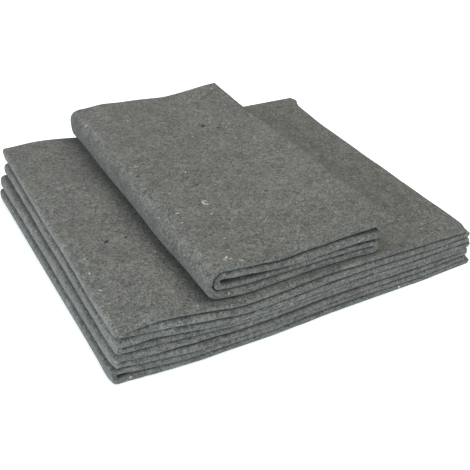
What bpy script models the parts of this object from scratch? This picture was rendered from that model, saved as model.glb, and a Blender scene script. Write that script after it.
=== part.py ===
"""A stack of moving blankets: four folded blankets in a pile, and a fifth, folded once more, lying on them.

Every blanket is one needled felt cloth of 54 by 72 inches. It is folded in thirds across, so it becomes
a strip three cloths thick with a neat rolled fold at the front. The strip is then folded along its length,
with the fold at the left: once for a blanket in the pile, and twice for the one on top. Each length of the
strip shows as a band, so the pile is eight bands high and the top blanket four.

Metres, +Z up. X runs along the front of the pile, and Y from its front to its back. The places in the
tables start from the pile's front left corner, and the finished stack has its origin under its middle.
"""

import math
from collections import namedtuple

import bmesh
import bpy
import numpy as np

# The cloth, and the least air between two cloths of a band and between two bands
CLOTH = 0.0028
TIGHT_IN_BAND = 0.00035
TIGHT_UNDER_BAND = 0.0005

# The pile's depth, and the middle of the whole stack's box
PILE_DEPTH = 0.634
STACK_MIDDLE = (0.33852, 0.31010)

# How far the two free edges of the thirds stop short of the folds
INNER_THIRD_SHORT = 0.012
TUCKED_THIRD_SHORT = 0.070
# How far each cloth of a band ends past the one outside it, at the strip's free ends
STEPPED_END = 0.0015
# How far the free ends' corners reach: drawn in at the front, spread and flared out at the back
CORNER_REACH = 0.018
SPREAD_REACH = 0.170
PILE_SPREAD = 0.010
FLARE_REACH = 0.045
BACK_CORNER_REACH = 0.016
BACK_CORNER = 0.6

# Stations that all blankets share: across the plan in metres, and along it as shares of the depth
ACROSS = (0.060, 0.110, 0.155, 0.200, 0.290, 0.360, 0.430, 0.560)
STATION_SPACE = 0.012
ALONG = (0.05, 0.28, 0.50, 0.72, 0.95)
FRONT_STEPS = 6
BACK_STEPS = 4
TURN_STEPS = 6

# How square the rolled front fold is, where the bands lie tight and where they lie loosely, and how square
# the turns' noses are: at the front over and under their middle, and at the back. A power of 2 is a circle,
# and a higher one is squarer.
# The top blanket's cloths also lie a little apart at its noses.
TIGHT_ROLL, LOOSE_ROLL = 6.5, 3.0
LOOSE_ENOUGH = 0.8
Nose = namedtuple("Nose", "over under back loose")
PILE_NOSE_BACK = 3.3
TOP_NOSE = Nose(2.3, 2.3, 3.4, 0.0013)
# The share of the air above it that a rolled front fold springs open into, and how far back that reaches
ROLL_SPRING = 0.80
SPRING_REACH = 0.030
SPRUNG_UNDER = (1, 2, 3, 4, 5, 6, 9)
# The same at the left turns, where the third blanket's nose swells up to the fourth's, but not at the back
SIDE_SPRING = 0.85
SIDE_REACH = 0.030
SIDE_FADE = (0.36, 0.52)
SIDE_SPRUNG_UNDER = (6,)
# How far the left turns draw in at the front corner
TURN_CORNER = 0.004
TURN_CORNER_REACH = 0.024

FELT_GREY = (0.155, 0.158, 0.150, 1.0)
FELT_ROUGHNESS = 0.95

# How loosely the bands lie, at stations along the front and along the back, where 1 takes all the air below
Loose = namedtuple("Loose", "x front back")
PILE_LOOSENESS = (
    Loose(0.000, 0.86, 1.24),
    Loose(0.060, 1.02, 1.25),
    Loose(0.110, 1.00, 1.12),
    Loose(0.155, 0.78, 0.95),
    Loose(0.200, 0.50, 0.84),
    Loose(0.290, 0.52, 0.75),
    Loose(0.360, 0.53, 0.67),
    Loose(0.430, 0.50, 0.60),
    Loose(0.560, 0.33, 0.43),
    Loose(0.690, 0.06, 0.24),
)
TOP_LOOSENESS = (
    Loose(0.155, 1.00, 1.20),
    Loose(0.200, 0.98, 1.19),
    Loose(0.290, 0.45, 1.02),
    Loose(0.360, 0.47, 0.78),
    Loose(0.430, 0.72, 0.96),
    Loose(0.500, 0.82, 1.28),
)
TOP_LOWEST_BAND = 8

# Each band's air when it lies loosely: between its own cloths, and under it. Bands 0 to 7 are the pile's,
# from the floor up, and 8 to 11 the top blanket's.
Band = namedtuple("Band", "inside under")
BANDS = (
    Band(0.0010, 0.0000),
    Band(0.0014, 0.0010),
    Band(0.0012, 0.0020),
    Band(0.0022, 0.0025),
    Band(0.0000, 0.0009),
    Band(0.0018, 0.0001),
    Band(0.0032, 0.0025),
    Band(0.0000, 0.0017),
    Band(0.0019, 0.0009),
    Band(0.0009, 0.0028),
    Band(0.0027, 0.0062),
    Band(0.0001, 0.0034),
)

# The y of each band's front edge, at places along the front
PileFront = namedtuple("PileFront", "x band_0 band_1 band_2 band_3 band_4 band_5 band_6 band_7")
PILE_FRONT = (
    PileFront(0.000, -0.0010, 0.0025, 0.0025, 0.0005, 0.0015, 0.0015, 0.0060, -0.0035),
    PileFront(0.045, -0.0075, -0.0050, -0.0060, -0.0080, -0.0035, 0.0000, -0.0010, -0.0035),
    PileFront(0.110, -0.0115, -0.0150, -0.0170, -0.0160, -0.0145, -0.0140, -0.0145, -0.0130),
    PileFront(0.180, -0.0130, -0.0130, -0.0150, -0.0120, -0.0130, -0.0170, -0.0165, -0.0135),
    PileFront(0.270, -0.0150, -0.0145, -0.0165, -0.0125, -0.0140, -0.0165, -0.0190, -0.0145),
    PileFront(0.370, -0.0120, -0.0105, -0.0125, -0.0090, -0.0115, -0.0145, -0.0145, -0.0090),
    PileFront(0.470, -0.0120, -0.0100, -0.0115, -0.0095, -0.0130, -0.0130, -0.0120, -0.0095),
    PileFront(0.580, -0.0130, -0.0140, -0.0120, -0.0105, -0.0135, -0.0125, -0.0115, -0.0080),
    PileFront(0.686, -0.0105, -0.0085, -0.0060, -0.0075, -0.0095, -0.0080, -0.0060, -0.0040),
)
TopFront = namedtuple("TopFront", "x band_8 band_9 band_10 band_11")
TOP_FRONT = (
    TopFront(0.180, 0.0000, 0.0025, 0.0035, -0.0010),
    TopFront(0.250, -0.0010, 0.0050, 0.0045, 0.0050),
    TopFront(0.330, 0.0020, 0.0050, 0.0000, 0.0085),
    TopFront(0.410, 0.0015, 0.0020, -0.0010, 0.0055),
    TopFront(0.490, -0.0035, -0.0035, -0.0030, 0.0035),
)

# Where a band stands up off the one under it: the place, the reach each way, and the rise
Hump = namedtuple("Hump", "band x y reach_x reach_y rise")
HUMPS = (
    Hump(1, 0.000, 0.000, 0.024, 0.050, 0.0050),
    Hump(3, 0.120, 0.000, 0.070, 0.110, 0.0020),
    Hump(4, 0.000, 0.000, 0.030, 0.045, 0.0004),
    Hump(7, 0.075, 0.000, 0.060, 0.080, 0.0013),
    Hump(6, 0.330, 0.000, 0.080, 0.090, 0.0015),
    Hump(7, 0.690, 0.640, 0.060, 0.080, 0.0010),
    Hump(11, 0.500, 0.000, 0.060, 0.090, 0.0035),
    Hump(11, 0.500, 0.650, 0.070, 0.080, 0.0030),
    Hump(11, 0.215, 0.650, 0.032, 0.100, 0.0042),
)
# Where a band is fuller, or flatter, at the pile's front left corner
Corner = namedtuple("Corner", "band reach_x reach_y fuller")
FRONT_LEFT_CORNER = (
    Corner(1, 0.030, 0.050, -0.0014),
    Corner(5, 0.035, 0.060, 0.0018),
    Corner(6, 0.035, 0.060, -0.0016),
)

# The blankets of the pile: the lowest band, then the middle of the left turn, the free end of the upper
# band and that of the lower one, each at the front and at the back, the depth, how far the free end's front
# corner draws in and its back corner flares out, and how square the turn's nose is at the front, in its
# upper half and in its lower one
Folded = namedtuple(
    "Folded",
    "name lower turn_front turn_back upper_front upper_back lower_front lower_back depth corner flare "
    "nose_over nose_under",
)
PILE = (
    Folded("blanket_1_bottom", 0, -0.0025, -0.0160, 0.698, 0.687, 0.702, 0.691, 0.636, 0.014, 0.0, 3.8, 3.8),
    Folded("blanket_2", 2, 0.0030, -0.0100, 0.6945, 0.683, 0.6945, 0.681, 0.633, 0.007, 0.0, 4.2, 4.2),
    Folded("blanket_3", 4, 0.0080, 0.0010, 0.6945, 0.681, 0.6925, 0.683, 0.635, 0.006, 0.003, 8.5, 4.2),
    Folded("blanket_4", 6, 0.0115, 0.0060, 0.6875, 0.6815, 0.6905, 0.684, 0.637, 0.0060, 0.010, 4.2, 8.5),
)

# The top blanket, folded twice along its length, with each turn and free end at the front and at the back
TOP_NAME = "blanket_5_top"
TOP_TURN = (0.1820, 0.1772)
TOP_INNER_TURN = (0.1816, 0.1786)
TOP_RIGHT_TURN = (0.4690, 0.4500)
TOP_UPPER_END = (0.5140, 0.4900)
TOP_SECOND_END = (0.4800, 0.4650)
TOP_DEPTH = 0.638


def share(value, low, high):
    """How far value is from low to high, from 0 to 1."""
    return min(1.0, max(0.0, (value - low) / (high - low)))


def mix(low, high, amount):
    return low + (high - low) * amount


def looseness(band, x, y):
    rows = TOP_LOOSENESS if band >= TOP_LOWEST_BAND else PILE_LOOSENESS
    front, back = rows[0].front, rows[0].back
    for before, after in zip(rows, rows[1:]):
        amount = share(x, before.x, after.x)
        front += (after.front - before.front) * amount
        back += (after.back - before.back) * amount
    return mix(front, back, share(y, 0.0, PILE_DEPTH))


def sprung(band, x, y):
    """How much of the air under a band is taken up by the folds below, which spring open at their noses."""
    taken = 0.0
    if band in SPRUNG_UNDER:
        taken = ROLL_SPRING * math.exp(-((max(y, 0.0) / SPRING_REACH) ** 2))
    if band in SIDE_SPRUNG_UNDER:
        side = SIDE_SPRING * math.exp(-((max(x, 0.0) / SIDE_REACH) ** 2)) * (1 - share(y, *SIDE_FADE))
        taken = max(taken, side)
    return taken


def loose_air_under(band, x, y):
    return BANDS[band].under * looseness(band, x, y)


def pitch(band, x, y):
    """From one cloth to the next inside a band."""
    within = CLOTH + TIGHT_IN_BAND + BANDS[band].inside * looseness(band, x, y)
    if band + 1 in SPRUNG_UNDER:
        within += 0.5 * sprung(band + 1, x, y) * loose_air_under(band + 1, x, y)
    for corner in FRONT_LEFT_CORNER:
        if corner.band == band:
            within += corner.fuller * math.exp(-((x / corner.reach_x) ** 2) - (y / corner.reach_y) ** 2)
    return within


def air_under(band, x, y):
    air = TIGHT_UNDER_BAND + loose_air_under(band, x, y) * (1 - sprung(band, x, y))
    for hump in HUMPS:
        if hump.band == band:
            away = ((x - hump.x) / hump.reach_x) ** 2 + ((y - hump.y) / hump.reach_y) ** 2
            air += hump.rise * math.exp(-away)
    return air


def level(band, x, y):
    """The height of the middle cloth of a band."""
    height = 0.0
    for lower in range(band):
        height += CLOTH + 2 * pitch(lower, x, y) + air_under(lower + 1, x, y)
    return height + 0.5 * CLOTH + pitch(band, x, y)


def front_edge(band, x):
    rows, first = (TOP_FRONT, TOP_LOWEST_BAND) if band >= TOP_LOWEST_BAND else (PILE_FRONT, 0)
    return float(np.interp(x, [row.x for row in rows], [row[1 + band - first] for row in rows]))


def squared(angle, power):
    """A point of a rounded square: how far to the side, and how far up."""
    across, up = math.sin(angle), math.cos(angle)
    reach = (abs(across) ** power + abs(up) ** power) ** (-1.0 / power)
    return reach * across, reach * up


def straight(band, outer_side, place):
    """A station on a band. place gives x from y and from how far out the cloth is, from -1 to 1."""

    def at(out, y):
        x = place(out, y)
        return x, level(band, x, y) + outer_side * out * pitch(band, x, y)

    return at, band


def turned(band_from, band_to, centre, side, outer_side, shape, angle):
    """A station on the turn that joins two bands. side is -1 for a turn at the left and 1 at the right.

    The cloths lie closer to each other at the nose than they do in the bands.
    """
    front = shape.over if angle < math.pi / 2 else shape.under

    def at(out, y):
        x = centre(y)
        nose, up = squared(angle, mix(front, shape.back, share(y, 0.0, PILE_DEPTH)))
        start, end = level(band_from, x, y), level(band_to, x, y)
        step = mix(pitch(band_from, x, y), pitch(band_to, x, y), angle / math.pi)
        middle = abs(end - start) / 2
        radius = middle + outer_side * out * step
        reach = middle - step + (1 + outer_side * out) * (CLOTH + TIGHT_IN_BAND + shape.loose)
        towards_end = 1.0 if end > start else -1.0
        height = (start + end) / 2 - towards_end * radius * up
        return x + side * reach * nose, height

    return at, band_from if angle < math.pi / 2 else band_to


def between(front, back):
    """A line over the plan's depth, from its place at the front to its place at the back."""
    return lambda y: mix(front, back, share(y, 0.0, PILE_DEPTH))


def rounded_line(front, back):
    """The same line with its front end drawn in, as a folded corner is."""
    line = between(front, back)
    return lambda y: line(y) + TURN_CORNER * (1 - share(y, 0.0, TURN_CORNER_REACH)) ** 2


def fixed(x):
    return lambda out, y: x


def on_turn(centre):
    return lambda out, y: centre(y)


def free_end(edge, spread, corner, flare):
    """The strip's cut end, stepped from cloth to cloth, drawn in at the front and spread at the back."""

    def place(out, y):
        drawn_in = corner * (1 - share(y, 0.0, CORNER_REACH)) ** 2
        drawn_in += BACK_CORNER * flare * share(y, PILE_DEPTH - BACK_CORNER_REACH, PILE_DEPTH) ** 2
        spread_out = spread * share(y, PILE_DEPTH - SPREAD_REACH, PILE_DEPTH)
        spread_out += flare * share(y, PILE_DEPTH - FLARE_REACH, PILE_DEPTH - BACK_CORNER_REACH)
        return edge(y) - STEPPED_END * out - drawn_in + spread_out

    return place


def band_run(band, outer_side, first, last):
    """The stations of a band from one end to the other, over the stations that all blankets share."""
    start, stop = first(0.0, PILE_DEPTH / 2), last(0.0, PILE_DEPTH / 2)
    low, high = min(start, stop) + STATION_SPACE, max(start, stop) - STATION_SPACE
    inside = [x for x in ACROSS if low < x < high]
    if start > stop:
        inside.reverse()
    places = [first, *[fixed(x) for x in inside], last]
    return [straight(band, outer_side, place) for place in places]


def turn_run(band_from, band_to, centre, side, outer_side, shape):
    """The stations inside a turn, without the two that its bands have already."""
    angles = [math.pi * step / TURN_STEPS for step in range(1, TURN_STEPS)]
    return [turned(band_from, band_to, centre, side, outer_side, shape, angle) for angle in angles]


def pile_path(blanket):
    """Along the strip of a blanket in the pile: the upper band, the left turn and the lower band."""
    upper, lower = blanket.lower + 1, blanket.lower
    turn = rounded_line(blanket.turn_front, blanket.turn_back)
    upper_edge = between(blanket.upper_front, blanket.upper_back)
    lower_edge = between(blanket.lower_front, blanket.lower_back)
    upper_end = free_end(upper_edge, PILE_SPREAD, blanket.corner, blanket.flare)
    lower_end = free_end(lower_edge, PILE_SPREAD, blanket.corner / 2, blanket.flare / 2)
    nose = Nose(blanket.nose_over, blanket.nose_under, PILE_NOSE_BACK, 0.0)
    path = band_run(upper, 1, upper_end, on_turn(turn))
    path += turn_run(upper, lower, turn, -1, 1, nose)
    path += band_run(lower, -1, on_turn(turn), lower_end)
    return path


def top_path():
    """Along the top blanket's strip: its top band, then its lowest, and from there up to the second."""
    lowest = TOP_LOWEST_BAND
    turn, inner = between(*TOP_TURN), between(*TOP_INNER_TURN)
    right = between(*TOP_RIGHT_TURN)
    path = band_run(lowest + 3, 1, free_end(between(*TOP_UPPER_END), 0.0, 0.0, 0.0), on_turn(turn))
    path += turn_run(lowest + 3, lowest, turn, -1, 1, TOP_NOSE)
    path += band_run(lowest, -1, on_turn(turn), on_turn(right))
    path += turn_run(lowest, lowest + 1, right, 1, 1, TOP_NOSE)
    path += band_run(lowest + 1, 1, on_turn(right), on_turn(inner))
    path += turn_run(lowest + 1, lowest + 2, inner, -1, -1, TOP_NOSE)
    path += band_run(lowest + 2, -1, on_turn(inner), free_end(between(*TOP_SECOND_END), 0.0, 0.0, 0.0))
    return path


# A place across the folded strip: how far out its cloth is, from -1 to 1, what y is measured from (a share
# of the depth, or the front roll, the front or the back fold), how far beyond that it lies, and its bulge
Across = namedtuple("Across", "out anchor beyond bulge")


def thirds():
    """Across the strip: inner third from its free edge, front fold, outer third, back fold, tucked third."""
    places = [Across(-1, "back", -INNER_THIRD_SHORT, 0)]
    places += [Across(-1, s, 0, 0) for s in reversed(ALONG)]
    for step in range(FRONT_STEPS + 1):
        out = squared(math.pi * step / FRONT_STEPS, LOOSE_ROLL)[1]
        places.append(Across(-out, "roll", 0, 0))
    places += [Across(1, s, 0, 0) for s in ALONG]
    for step in range(BACK_STEPS + 1):
        angle = math.pi * step / BACK_STEPS
        places.append(Across(0.5 + 0.5 * math.cos(angle), "back", 0, 0.5 * math.sin(angle)))
    places += [Across(0, s, 0, 0) for s in reversed(ALONG[1:])]
    places.append(Across(0, "front", TUCKED_THIRD_SHORT, 0))
    return places


def depth_of(place, at, band, depth):
    """The y of a place across the strip, at one station along it."""
    middle_x = at(0, depth / 2)[0]
    front_step = pitch(band, middle_x, 0.0)
    if place.anchor == "roll":
        tightness = 1 - min(1.0, looseness(band, middle_x, 0.0) / LOOSE_ENOUGH)
        power = mix(LOOSE_ROLL, TIGHT_ROLL, tightness)
        bulge = (1 - min(1.0, abs(place.out)) ** power) ** (1 / power)
        return front_edge(band, middle_x) + front_step * (1 - bulge)
    if place.anchor == "front":
        return front_edge(band, middle_x) + front_step + place.beyond
    if place.anchor == "back":
        step = pitch(band, middle_x, depth)
        return depth - step / 2 + place.beyond + place.bulge * step
    return place.anchor * PILE_DEPTH


def folded_cloth(name, path, depth):
    """The blanket as one sheet: a grid with its rows across the strip, laid on its folds and thickened."""
    places = thirds()
    bm = bmesh.new()
    bmesh.ops.create_grid(bm, x_segments=len(path) - 1, y_segments=len(places) - 1, size=0.5)
    for vertex in bm.verts:
        row = round((vertex.co.x + 0.5) * (len(path) - 1))
        column = round((vertex.co.y + 0.5) * (len(places) - 1))
        at, band = path[row]
        place = places[column]
        y = depth_of(place, at, band, depth)
        x, z = at(place.out, y)
        vertex.co = (x - STACK_MIDDLE[0], y - STACK_MIDDLE[1], z)
    mesh = bpy.data.meshes.new(name)
    bm.to_mesh(mesh)
    bm.free()
    mesh.shade_smooth()
    blanket = bpy.data.objects.new(name, mesh)
    thickness = blanket.modifiers.new("cloth", "SOLIDIFY")
    thickness.thickness = CLOTH
    thickness.offset = 0.0
    thickness.use_even_offset = True
    return blanket


def felt(blanket_name):
    """Grey needled felt of recycled fibre."""
    material = bpy.data.materials.new("felt_of_" + blanket_name)
    material.use_nodes = True
    shader = material.node_tree.nodes["Principled BSDF"]
    shader.inputs["Base Color"].default_value = FELT_GREY
    shader.inputs["Roughness"].default_value = FELT_ROUGHNESS
    shader.inputs["Metallic"].default_value = 0.0
    return material


def main():
    for old in list(bpy.data.objects):
        bpy.data.objects.remove(old)
    collection = bpy.data.collections.new("stack_of_moving_blankets")
    bpy.context.scene.collection.children.link(collection)
    blankets = [folded_cloth(row.name, pile_path(row), row.depth) for row in PILE]
    blankets.append(folded_cloth(TOP_NAME, top_path(), TOP_DEPTH))
    for blanket in blankets:
        blanket.data.materials.append(felt(blanket.name))
        collection.objects.link(blanket)


main()
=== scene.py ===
# %% [markdown]
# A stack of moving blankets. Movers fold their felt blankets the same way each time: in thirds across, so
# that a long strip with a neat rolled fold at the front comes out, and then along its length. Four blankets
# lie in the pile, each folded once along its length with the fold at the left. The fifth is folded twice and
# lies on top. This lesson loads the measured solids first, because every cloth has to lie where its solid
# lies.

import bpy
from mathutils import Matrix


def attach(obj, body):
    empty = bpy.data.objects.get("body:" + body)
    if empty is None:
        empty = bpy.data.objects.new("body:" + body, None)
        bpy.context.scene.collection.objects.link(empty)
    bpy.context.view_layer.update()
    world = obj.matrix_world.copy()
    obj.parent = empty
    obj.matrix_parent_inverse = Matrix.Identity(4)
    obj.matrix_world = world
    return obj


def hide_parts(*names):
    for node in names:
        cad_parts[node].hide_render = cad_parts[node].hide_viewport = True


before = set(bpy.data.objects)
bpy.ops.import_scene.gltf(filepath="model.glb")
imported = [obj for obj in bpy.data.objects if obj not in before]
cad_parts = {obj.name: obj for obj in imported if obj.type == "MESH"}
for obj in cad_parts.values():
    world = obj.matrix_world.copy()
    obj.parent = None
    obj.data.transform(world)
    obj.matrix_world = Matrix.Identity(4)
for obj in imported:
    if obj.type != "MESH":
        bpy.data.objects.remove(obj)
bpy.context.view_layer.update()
print("solids:", sorted(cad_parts))

# %% [markdown]
# All the modelling below works with whole arrays of points, so numpy does the arithmetic. A grid from bmesh
# becomes the cloth, and Blender's own modifiers give it its thickness.

# %% Modules
import math
from collections import namedtuple

import bmesh
import bpy
import numpy as np
from mathutils import Vector

# %% [markdown]
# The camera comes early, so that each piece can be looked at as it is made. It stands in front of the stack,
# a little to its left and well above it, as a person does who looks down at the pile on the floor.

# %% Camera
CAMERA_PLACE = Vector((-0.58535, -1.1530, 0.8571))
CAMERA_TARGET = Vector((0.01335, -0.0297, 0.0))
LENS = 58.9
FILM_WIDTH = 36.0
FARTHEST_SEEN = 20.0

camera_data = bpy.data.cameras.new("view_of_the_stack")
camera_data.lens = LENS
camera_data.sensor_width = FILM_WIDTH
camera_data.clip_end = FARTHEST_SEEN
camera = bpy.data.objects.new("view_of_the_stack", camera_data)
camera.location = CAMERA_PLACE
camera.rotation_euler = (CAMERA_TARGET - CAMERA_PLACE).to_track_quat("-Z", "Y").to_euler()
bpy.context.scene.collection.objects.link(camera)
bpy.context.scene.camera = camera
print("camera is", round((CAMERA_TARGET - CAMERA_PLACE).length, 3), "m from the stack")

# %% [markdown]
# A folded blanket is best thought of as layers. One cloth is 2.8 mm thick, three cloths make a band, and the
# bands lie on each other with a little air between them. If every blanket reads the same tables of air, no
# cloth can pass through its neighbour, however unevenly they lie. The tables start from the pile's front
# left corner on the floor, in metres.

# %% The cloth, the pile's plan and the air between the bands
CLOTH = 0.0028
TIGHT_IN_BAND = 0.00035
TIGHT_UNDER_BAND = 0.0005

PILE_DEPTH = 0.634
STACK_MIDDLE = (0.33852, 0.31010)

INNER_THIRD_SHORT = 0.012
TUCKED_THIRD_SHORT = 0.070
STEPPED_END = 0.0015
CORNER_REACH = 0.018
SPREAD_REACH = 0.170
PILE_SPREAD = 0.010
FLARE_REACH = 0.045
BACK_CORNER_REACH = 0.016
BACK_CORNER = 0.6

Loose = namedtuple("Loose", "x front back")
PILE_LOOSENESS = (
    Loose(0.000, 0.86, 1.24),
    Loose(0.060, 1.02, 1.25),
    Loose(0.110, 1.00, 1.12),
    Loose(0.155, 0.78, 0.95),
    Loose(0.200, 0.50, 0.84),
    Loose(0.290, 0.52, 0.75),
    Loose(0.360, 0.53, 0.67),
    Loose(0.430, 0.50, 0.60),
    Loose(0.560, 0.33, 0.43),
    Loose(0.690, 0.06, 0.24),
)
TOP_LOOSENESS = (
    Loose(0.155, 1.00, 1.20),
    Loose(0.200, 0.98, 1.19),
    Loose(0.290, 0.45, 1.02),
    Loose(0.360, 0.47, 0.78),
    Loose(0.430, 0.72, 0.96),
    Loose(0.500, 0.82, 1.28),
)
TOP_LOWEST_BAND = 8

Band = namedtuple("Band", "inside under")
BANDS = (
    Band(0.0010, 0.0000),
    Band(0.0014, 0.0010),
    Band(0.0012, 0.0020),
    Band(0.0022, 0.0025),
    Band(0.0000, 0.0009),
    Band(0.0018, 0.0001),
    Band(0.0032, 0.0025),
    Band(0.0000, 0.0017),
    Band(0.0019, 0.0009),
    Band(0.0009, 0.0028),
    Band(0.0027, 0.0062),
    Band(0.0001, 0.0034),
)

Hump = namedtuple("Hump", "band x y reach_x reach_y rise")
HUMPS = (
    Hump(1, 0.000, 0.000, 0.024, 0.050, 0.0050),
    Hump(3, 0.120, 0.000, 0.070, 0.110, 0.0020),
    Hump(4, 0.000, 0.000, 0.030, 0.045, 0.0004),
    Hump(7, 0.075, 0.000, 0.060, 0.080, 0.0013),
    Hump(6, 0.330, 0.000, 0.080, 0.090, 0.0015),
    Hump(7, 0.690, 0.640, 0.060, 0.080, 0.0010),
    Hump(11, 0.500, 0.000, 0.060, 0.090, 0.0035),
    Hump(11, 0.500, 0.650, 0.070, 0.080, 0.0030),
    Hump(11, 0.215, 0.650, 0.032, 0.100, 0.0042),
)

Corner = namedtuple("Corner", "band reach_x reach_y fuller")
FRONT_LEFT_CORNER = (
    Corner(1, 0.030, 0.050, -0.0014),
    Corner(5, 0.035, 0.060, 0.0018),
    Corner(6, 0.035, 0.060, -0.0016),
)

# %% [markdown]
# Cloth never changes its slope at a point, so the tables are read through a soft window instead of by
# straight lines. On top of them each band gets its own slow waves, which is how hand-folded felt lies: the
# waves only ever add air, so the cloths stay clear of each other.

# %% Soft tables and slow waves
PLAN_STEP = 0.004
PLAN_X = np.arange(-0.08, 0.80, PLAN_STEP)
SOFT_REACH = 0.064


def softened(xs, values):
    line = np.interp(PLAN_X, xs, values)
    window = np.hanning(round(SOFT_REACH / PLAN_STEP) | 1)
    sides = len(window) // 2
    return np.convolve(np.pad(line, sides, mode="edge"), window / window.sum(), mode="valid")


def soft_table(rows):
    xs = [row.x for row in rows]
    return softened(xs, [row.front for row in rows]), softened(xs, [row.back for row in rows])


SOFT_PILE = soft_table(PILE_LOOSENESS)
SOFT_TOP = soft_table(TOP_LOOSENESS)


def share(value, low, high):
    return np.clip((value - low) / (high - low), 0.0, 1.0)


def mix(low, high, amount):
    return low + (high - low) * amount


def eased(amount):
    return amount * amount * (3 - 2 * amount)


def looseness(band, x, y):
    front, back = SOFT_TOP if band >= TOP_LOWEST_BAND else SOFT_PILE
    return mix(np.interp(x, PLAN_X, front), np.interp(x, PLAN_X, back), share(y, 0.0, PILE_DEPTH))


WAVE_COUNT = 5
WAVE_LENGTHS = (0.11, 0.34)
AIR_SEED = 100
INNER_SEED = 200


def slow_waves(seed, shortest, longest, count=WAVE_COUNT):
    """A smooth field over the plan, from about -1 to 1, as a sum of a few waves in different directions."""
    chance = np.random.default_rng(seed)
    lengths = chance.uniform(shortest, longest, count)
    turns = chance.uniform(0, 2 * math.pi, count)
    starts = chance.uniform(0, 2 * math.pi, count)

    def field(x, y):
        total = 0.0
        for length, turn, start in zip(lengths, turns, starts):
            total = total + np.sin(2 * math.pi / length * (x * math.cos(turn) + y * math.sin(turn)) + start)
        return total / count

    return field


air_waves = [slow_waves(AIR_SEED + band, *WAVE_LENGTHS) for band in range(len(BANDS))]
inner_waves = [slow_waves(INNER_SEED + band, *WAVE_LENGTHS) for band in range(len(BANDS))]
print("looseness at the pile's front left:", round(float(looseness(0, 0.06, 0.0)), 3))

# %% [markdown]
# With the air known, the height of any band at any place is a plain sum over the bands below it. The front
# folds are springy rolls, so near the front each of them swells until it nearly meets the band above, though
# not evenly: short waves press it flatter in some places than in others. Under one band the fold at the left
# side swells in the same way. That keeps the lines between the bands thin there, as they are on a real pile.

# %% Heights of the bands
AIR_WAVE = 0.45
INNER_WAVE = 0.35
ROLL_SPRING = 0.80
SPRING_REACH = 0.030
SPRUNG_UNDER = (1, 2, 3, 4, 5, 6, 9)
PRESS_WAVE = 0.55
PRESS_LENGTHS = (0.030, 0.090)
PRESS_COUNT = 6
PRESS_SEED = 700
SIDE_SPRING = 0.85
SIDE_REACH = 0.030
SIDE_FADE = (0.36, 0.52)
SIDE_SPRUNG_UNDER = (6,)

press_waves = [slow_waves(PRESS_SEED + band, *PRESS_LENGTHS, PRESS_COUNT) for band in range(len(BANDS))]


def sprung(band, x, y):
    """How much of the air under a band is taken up by the folds below, which spring open at their noses."""
    taken = 0.0
    if band in SPRUNG_UNDER:
        spring = np.clip(ROLL_SPRING * (1 + PRESS_WAVE * press_waves[band](x, 0.0)), 0.0, 1.0)
        taken = spring * np.exp(-((np.maximum(y, 0.0) / SPRING_REACH) ** 2))
    if band in SIDE_SPRUNG_UNDER:
        side = SIDE_SPRING * np.exp(-((np.maximum(x, 0.0) / SIDE_REACH) ** 2)) * (1 - share(y, *SIDE_FADE))
        taken = np.maximum(taken, side)
    return taken


def loose_air_under(band, x, y):
    loose = looseness(band, x, y) * (1 + AIR_WAVE * air_waves[band](x, y))
    return BANDS[band].under * loose


def pitch(band, x, y):
    """From one cloth to the next inside a band."""
    loose = looseness(band, x, y) * (1 + INNER_WAVE * inner_waves[band](x, y))
    within = CLOTH + TIGHT_IN_BAND + BANDS[band].inside * loose
    if band + 1 in SPRUNG_UNDER:
        within = within + 0.5 * sprung(band + 1, x, y) * loose_air_under(band + 1, x, y)
    for corner in FRONT_LEFT_CORNER:
        if corner.band == band:
            within = within + corner.fuller * np.exp(-((x / corner.reach_x) ** 2) - (y / corner.reach_y) ** 2)
    return within


def air_under(band, x, y):
    air = TIGHT_UNDER_BAND + loose_air_under(band, x, y) * (1 - sprung(band, x, y))
    for hump in HUMPS:
        if hump.band == band:
            away = ((x - hump.x) / hump.reach_x) ** 2 + ((y - hump.y) / hump.reach_y) ** 2
            air = air + hump.rise * np.exp(-away)
    return air


def level(band, x, y):
    """The height of the middle cloth of a band."""
    height = 0.0
    for lower in range(band):
        height = height + CLOTH + 2 * pitch(lower, x, y) + air_under(lower + 1, x, y)
    return height + 0.5 * CLOTH + pitch(band, x, y)


print("pile's height at its left, mm:", round(1000 * float(level(8, 0.06, 0.3) - pitch(8, 0.06, 0.3)), 1))

# %% [markdown]
# The front edge of each band wanders by a centimetre or two, because the folds were pressed by hand and no
# two ran quite straight. So each band has its own places along the front, and short waves of about a
# millimetre keep the lines from looking ruled.

# %% Front and back edges
PileFront = namedtuple("PileFront", "x band_0 band_1 band_2 band_3 band_4 band_5 band_6 band_7")
PILE_FRONT = (
    PileFront(0.000, -0.0010, 0.0025, 0.0025, 0.0005, 0.0015, 0.0015, 0.0060, -0.0035),
    PileFront(0.045, -0.0075, -0.0050, -0.0060, -0.0080, -0.0035, 0.0000, -0.0010, -0.0035),
    PileFront(0.110, -0.0115, -0.0150, -0.0170, -0.0160, -0.0145, -0.0140, -0.0145, -0.0130),
    PileFront(0.180, -0.0130, -0.0130, -0.0150, -0.0120, -0.0130, -0.0170, -0.0165, -0.0135),
    PileFront(0.270, -0.0150, -0.0145, -0.0165, -0.0125, -0.0140, -0.0165, -0.0190, -0.0145),
    PileFront(0.370, -0.0120, -0.0105, -0.0125, -0.0090, -0.0115, -0.0145, -0.0145, -0.0090),
    PileFront(0.470, -0.0120, -0.0100, -0.0115, -0.0095, -0.0130, -0.0130, -0.0120, -0.0095),
    PileFront(0.580, -0.0130, -0.0140, -0.0120, -0.0105, -0.0135, -0.0125, -0.0115, -0.0080),
    PileFront(0.686, -0.0105, -0.0085, -0.0060, -0.0075, -0.0095, -0.0080, -0.0060, -0.0040),
)
TopFront = namedtuple("TopFront", "x band_8 band_9 band_10 band_11")
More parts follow.
